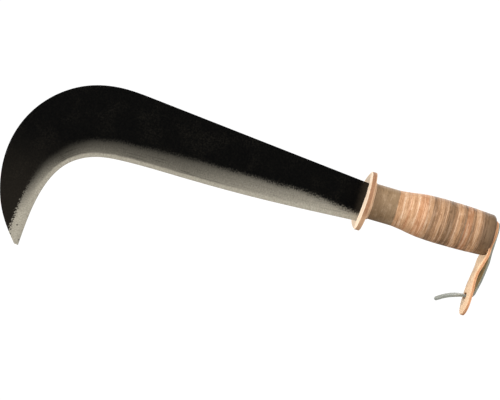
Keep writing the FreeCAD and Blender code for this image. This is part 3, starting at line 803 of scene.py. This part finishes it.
def make_blade():
    edge = spline([rib[:2] for rib in RIBS], 1600)
    straight = np.linspace(HEEL_TOP, HOOK_BACK[0], 700)[:-1]
    back = np.concatenate([straight, spline(HOOK_BACK + (POINT_BACK,), 1100)])
    edge_keys = [nearest_length(edge, rib[:2]) for rib in RIBS]
    back_keys = [nearest_length(back, rib[3:5]) for rib in RIBS]
    stations = 420
    edge_length = lengths_along(edge)[-1]
    along = np.linspace(0.0, edge_length, stations)
    # Stations are closer together round the hook, where the edge is short and the back is long.
    spread = (along / edge_length) ** 0.85 * edge_length
    feet = at_length(edge, spread)
    tops = at_length(back, np.interp(spread, edge_keys, back_keys))
    widths = np.interp(spread, edge_keys, [rib[2] for rib in RIBS])
    reach = np.linalg.norm(tops - feet, axis=1)
    direction = (tops - feet) / reach[:, None]

    near_edge = np.linspace(0.0, 1.0, 5)[:-1]
    in_bevel = np.linspace(0.0, 1.0, 15)[:-1]
    above = np.linspace(0.0, 1.0, 30)
    dense_edge = edge[::2]
    dense_along = lengths_along(edge)[::2]
    rings, distance, running = [], [], []
    for foot, ray, length, width in zip(feet, direction, reach, widths):
        hone = min(HONE_WIDTH, 0.4 * length)
        bevel = min(width, 0.88 * length)
        rounding = min(SPINE_ROUNDING, 0.08 * length)
        rows = np.concatenate([
            hone * near_edge, hone + (bevel - hone) * in_bevel, bevel + (length - rounding - bevel) * above,
        ])
        flat = foot + rows[:, None] * ray
        gaps = np.linalg.norm(flat[:, None, :] - dense_edge[None, :, :], axis=2)
        to_edge = gaps.min(axis=1)
        here = dense_along[gaps.argmin(axis=1)]
        own_width = np.interp(here, edge_keys, [rib[2] for rib in RIBS])
        half = np.interp(
            to_edge / own_width * width,
            [0.0, HONE_WIDTH, width, width + 1000.0],
            [HALF_AT_EDGE, HALF_AT_HONE, HALF_BLADE, HALF_BLADE],
        )
        turns = np.linspace(0.0, math.pi / 2, 5)[1:]
        spine = foot + (length - rounding * (1 - np.sin(turns)))[:, None] * ray
        flat = np.concatenate([flat, spine])
        half = np.concatenate([half, half[-1] - rounding * (1 - np.cos(turns))])
        to_edge = np.concatenate([to_edge, np.full(len(turns), to_edge[-1])])
        here = np.concatenate([here, np.full(len(turns), here[-1])])
        near = np.stack([flat[:, 0], -half, flat[:, 1]], axis=1)
        rings.append(np.concatenate([near, near[::-1] * np.array([1.0, -1.0, 1.0])]))
        distance.append(np.concatenate([to_edge, to_edge[::-1]]))
        running.append(np.concatenate([here, here[::-1]]))
    size = len(rings[0])
    vertices = np.concatenate(rings)
    distance = np.concatenate(distance)
    running = np.concatenate(running)
    own_width, low_grey, high_grey = (
        np.interp(running, edge_keys, [rib[column] for rib in RIBS]) for column in (2, 5, 6)
    )
    depth = distance - own_width
    uneven = 0.14 * ripple(vertices, 0.05, 3) + 0.05 * ripple(vertices, 0.17, 5)
    vertices[:, 1] += uneven * smooth_step(depth, 0.0, 8.0)
    # Painted sheen: the black scale is painted lighter and browner towards the bottom of the blade. Near the
    # heel it is tinted brown as well.
    painted_sheen_low = 0.4 * smooth_step(vertices[:, 2], -15.0, -90.0)
    brown_tint_heel = 0.9 * smooth_step(vertices[:, 0], -68.0, -60.0)
    brown_tint_and_sheen = painted_sheen_low + brown_tint_heel
    pits = np.zeros(len(vertices))
    for x, z, radius in PITS:
        away = np.hypot(vertices[:, 0] - x, vertices[:, 2] - z)
        pits = np.maximum(pits, np.exp(-(away / radius) ** 2))
    faces = skin_faces(stations, size, joined=False)
    half_ring = size // 2
    for base in (0, (stations - 1) * size):
        for place in range(half_ring - 1):
            mirror = size - 1 - place
            faces.append((base + place, base + place + 1, base + mirror - 1, base + mirror))
    attributes = {
        "bevel_depth": depth,
        "bevel_share": np.clip((distance - HONE_WIDTH) / (own_width - HONE_WIDTH), 0.0, 1.0),
        "edge_distance": distance,
        "edge_along": running,
        "low_grey": low_grey / 255,
        "high_grey": high_grey / 255,
        "pits": pits,
        "brown_tint_and_sheen": brown_tint_and_sheen,
        "softness": 1.0 - 0.85 * smooth_step(vertices[:, 2], -54.0, -78.0),
    }
    piece = new_piece("forged_blade", vertices, faces, attributes, blade_material(), sharp=30.0)
    ride_and_replace(piece, "tool", "forged_steel", "blade")


def make_tang():
    """The tang from the heel through the grip, its round end and the peened head over the hook's plate."""
    butt = slab("butt_cap")[1]
    seat = butt + 2 * (HALF_STRAP + HALF_HOOK)
    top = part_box("blade")[1].x / MM
    turns = 48
    angles = np.linspace(0, 2 * math.pi, turns, endpoint=False)
    hole = tang_hole(angles) * 0.985
    stem = 2.15
    head = 4.5
    height = top - seat
    dome = (head ** 2 + height ** 2) / (2 * height)
    sections = [(HEEL_BOTTOM[0] + 1.0, hole), (butt - 4.0, hole), (butt - 2.0, np.full(turns, stem))]
    sections += [(seat, np.full(turns, stem)), (seat, np.full(turns, head - 0.2))]
    for step in range(10):
        lift = height * (0.12 + 0.88 * step / 9.5)
        radius = math.sqrt(max(dome ** 2 - (dome - height + lift) ** 2, 0.0))
        sections.append((seat + lift, np.full(turns, min(radius, head))))
    rings = []
    for x, reach in sections:
        rings.append(np.stack([np.full(turns, x), reach * np.sin(angles), reach * np.cos(angles)], axis=1))
    vertices = np.concatenate(rings)
    on_head = vertices[:, 0] > seat + 0.05
    hammered = 0.12 * ripple(vertices, 0.8, 9)
    vertices[on_head, 0] += np.minimum(hammered[on_head], 0.0)
    faces = skin_faces(len(sections), turns, joined=False)
    faces.append(tuple(range(turns)))
    faces.append(tuple(range((len(sections) - 1) * turns, len(sections) * turns)))
    attributes = {"bare": (vertices[:, 0] > seat - 0.1).astype(float)}
    piece = new_piece("tang_and_rivet", vertices, faces, attributes, tang_material(), 50.0)
    ride_and_replace(piece, "tool", "forged_steel", "blade")


# ---- tongue and belt hook ----


def stadium(centre, reach, radius, upright, count, clockwise=False):
    """A closed loop round a line of half length reach: a circle where reach is zero."""
    turns = np.linspace(0, 2 * math.pi, count, endpoint=False)
    long = radius * np.cos(turns)
    long = long + reach * np.sign(long) * (np.abs(np.cos(turns)) > 1e-9)
    side = radius * np.sin(turns)
    loop = np.stack([side, -long] if upright else [long, side], axis=1) + np.array(centre)
    return loop[::-1] if clockwise else loop


def dense_loop(loop, spacing):
    """The closed loop's points at an even spacing."""
    closed = np.concatenate([loop, loop[:1]])
    total = lengths_along(closed)[-1]
    count = int(total / spacing)
    return at_length(closed, np.arange(count) * total / count)


def make_tongue():
    """One leather strap from under the hook's plate to its free end. It bends where it leaves the plate."""
    butt = slab("butt_cap")[1]
    line = spline(STRAP_LINE, 600)
    line[:, 0] += butt
    tangent = np.gradient(line, axis=0)
    tangent /= np.linalg.norm(tangent, axis=1)[:, None]
    heights = -line[:, 1]

    half = 14.0

    def place(y, z, level):
        """The edges are cupped towards the grip below the plate, and the hanging part is turned a little."""
        side = y / half
        cupped = 1.4 * np.abs(side) ** 3 * smooth_step(z, 1.0, -11.0) * smooth_step(z, -31.0, -17.0)
        turned = 1.1 * side * smooth_step(z, -22.0, -34.0) * smooth_step(z, -54.0, -36.0)
        x = np.interp(-z, heights, line[:, 0]) - cupped + turned
        along_x = np.interp(-z, heights, tangent[:, 0])
        along_z = np.interp(-z, heights, tangent[:, 1])
        return np.stack([x - level * along_z, y, z + level * along_x], axis=1)

    outline = dense_loop(stadium((0.0, -30.0), 30.0, half, True, 160), 1.0)
    slot = dense_loop(stadium((5.0, -56.9), 2.6, 2.8, False, 80, clockwise=True), 0.6)
    hole = stadium((0.0, 0.0), 0.0, 2.2, False, 24, clockwise=True)
    material = strap_material()
    piece = sheet_piece("leather_tongue", outline, [slot, hole], HALF_STRAP, 0.45, 1.3, place, material)
    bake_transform(piece)
    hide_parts("tongue_clamp", "tongue")


def make_belt_hook():
    """The steel strip: plate with a rounded top, tapering shank, forward bend and tapered prong."""
    butt = slab("butt_cap")[1]
    line = spline(HOOK_LINE, 900)
    line[:, 0] += butt
    along = lengths_along(line)
    tangent = np.gradient(line, axis=0)
    tangent /= np.linalg.norm(tangent, axis=1)[:, None]
    plate, neck, tip = 8.0, 4.25, 2.5
    shank_top, neck_top = -18.0, -50.0
    root_x, tip_x = butt - 5.0, line[-1][0]
    down_shank = np.clip((shank_top - line[:, 1]) / (shank_top - neck_top), 0.0, 1.0)
    out_prong = np.clip((root_x - line[:, 0]) / (root_x - tip_x), 0.0, 1.0)
    widths = plate + (neck - plate) * down_shank + (tip - neck) * out_prong
    total = along[-1]
    side = np.linspace(plate, total - tip, 160)
    half = np.interp(side, along, widths)
    top_turn = np.linspace(math.pi, 0.0, 25)[1:-1]
    tip_turn = np.linspace(0.0, math.pi, 17)[1:-1]
    # The outline runs down the +Y side, round the tip, up the -Y side and over the top.
    down = np.stack([half, -side], axis=1)
    round_tip = np.stack([half[-1] * np.cos(tip_turn), -(total - tip) - tip * np.sin(tip_turn)], axis=1)
    up = np.stack([-half[::-1], -side[::-1]], axis=1)
    round_top = np.stack([plate * np.cos(top_turn), -plate + plate * np.sin(top_turn)], axis=1)
    outline = np.concatenate([down, round_tip, up, round_top])[::-1]
    outline = dense_loop(outline, 0.7)
    top_z = line[0][1]
    hole = stadium((0.0, -top_z), 0.0, 2.2, False, 24, clockwise=True)
    swing = Matrix.Rotation(math.radians(5.0), 3, "X")

    def place(y, run, level):
        """The shank is turned about its near edge and the prong about its middle, both a little."""
        down_line = -run
        x = np.interp(down_line, along, line[:, 0])
        z = np.interp(down_line, along, line[:, 1])
        along_x = np.interp(down_line, along, tangent[:, 0])
        along_z = np.interp(down_line, along, tangent[:, 1])
        own_half = np.interp(down_line, along, widths)
        turned = 1.0 * (y / own_half + 1) * smooth_step(z, -18.0, -30.0) * smooth_step(z, -56.0, -48.0)
        twisted = 0.5 * y / own_half * smooth_step(x, butt - 8.0, butt - 16.0)
        points = np.stack([x - turned - level * along_z, y, z + twisted + level * along_x], axis=1)
        return points @ np.array(swing).T

    piece = sheet_piece("belt_hook_strip", outline, [hole], HALF_HOOK, 0.35, 1.0, place, hook_material())
    ride_and_replace(piece, "tool", "hook_steel", "belt_hook")


# ---- stage ----


def make_stage():
    low, high = cad_box
    floor_mesh = bpy.data.meshes.new("floor")
    reach = 0.8
    middle = (low.x + high.x) / 2
    level = low.z - 0.45
    angles = [2 * math.pi * step / 96 for step in range(96)]
    rim = [(middle + reach * math.cos(angle), reach * math.sin(angle), level) for angle in angles]
    floor_mesh.from_pydata(rim, [], [tuple(range(len(rim)))])
    floor = bpy.data.objects.new("floor", floor_mesh)
    bpy.context.scene.collection.objects.link(floor)
    paint = Material("floor_paint")
    speck = paint.noise(paint.place(), 0.02, 2.0)
    paint.set(
        Base_Color=paint.mix(speck, tone(247, 247, 247), tone(250, 250, 249)),
        Roughness=0.9,
        Specular_IOR_Level=0.0,
    )
    floor_mesh.materials.append(paint.made)
    floor.visible_diffuse = False
    floor.visible_glossy = False


def make_world():
    """White behind the object, and a weaker light on it that is a little stronger from above."""
    world = bpy.data.worlds.new("studio")
    bpy.context.scene.world = world
    world.use_nodes = True
    tree = world.node_tree
    tree.nodes.clear()
    white = (1.0, 1.0, 1.0, 1.0)
    light = tree.nodes.new("ShaderNodeBackground")
    light.inputs["Color"].default_value = white
    backdrop = tree.nodes.new("ShaderNodeBackground")
    backdrop.inputs["Color"].default_value = white
    backdrop.inputs["Strength"].default_value = 1.05
    where = tree.nodes.new("ShaderNodeTexCoord")
    split = tree.nodes.new("ShaderNodeSeparateXYZ")
    rise = tree.nodes.new("ShaderNodeMapRange")
    for key, value in (("From Min", -1.0), ("From Max", 1.0), ("To Min", 0.3), ("To Max", 0.46)):
        rise.inputs[key].default_value = value
    tree.links.new(where.outputs["Generated"], split.inputs[0])
    tree.links.new(split.outputs["Z"], rise.inputs["Value"])
    tree.links.new(rise.outputs["Result"], light.inputs["Strength"])
    seen = tree.nodes.new("ShaderNodeLightPath")
    blend = tree.nodes.new("ShaderNodeMixShader")
    output = tree.nodes.new("ShaderNodeOutputWorld")
    tree.links.new(seen.outputs["Is Camera Ray"], blend.inputs[0])
    tree.links.new(light.outputs[0], blend.inputs[1])
    tree.links.new(backdrop.outputs[0], blend.inputs[2])
    tree.links.new(blend.outputs[0], output.inputs["Surface"])


def make_light(name, place, target, size, power):
    data = bpy.data.lights.new(name, "AREA")
    data.shape = "DISK"
    data.size = size
    data.energy = power
    light = bpy.data.objects.new(name, data)
    light.location = place
    light.rotation_euler = (Vector(target) - Vector(place)).to_track_quat("-Z", "Y").to_euler()
    bpy.context.scene.collection.objects.link(light)


def make_camera():
    data = bpy.data.cameras.new("camera")
    data.lens = 79.2
    data.sensor_width = 36.0
    camera = bpy.data.objects.new("camera", data)
    roll = math.radians(16.3)
    right = Vector((math.cos(roll), 0.0, math.sin(roll)))
    up = Vector((-math.sin(roll), 0.0, math.cos(roll)))
    back = Vector((0.0, -1.0, 0.0))
    turn = Matrix((right, up, back)).transposed()
    camera.matrix_world = Matrix.Translation((-0.1561, -0.968, -0.0291)) @ turn.to_4x4()
    bpy.context.scene.collection.objects.link(camera)
    bpy.context.scene.camera = camera


make_grip()
make_guard()
make_blade()
make_tang()
make_tongue()
make_belt_hook()
make_stage()
make_world()
make_light("key_upper_left", (-0.9, -0.75, 1.35), (-0.1, 0.0, 0.0), 1.1, 24.0)
make_light("left_side", (-1.4, -0.45, -0.45), (0.0, 0.0, 0.0), 0.9, 16.0)
make_light("right_front", (0.9, -1.2, 0.3), (0.0, 0.0, 0.0), 1.0, 11.0)
make_light("low_front", (0.1, -1.4, -0.8), (0.0, 0.0, 0.0), 1.2, 5.0)
make_light("back_fill", (0.4, 1.5, 0.9), (-0.1, 0.0, 0.0), 1.4, 14.0)
make_camera()
bpy.context.scene.view_settings.view_transform = "Standard"
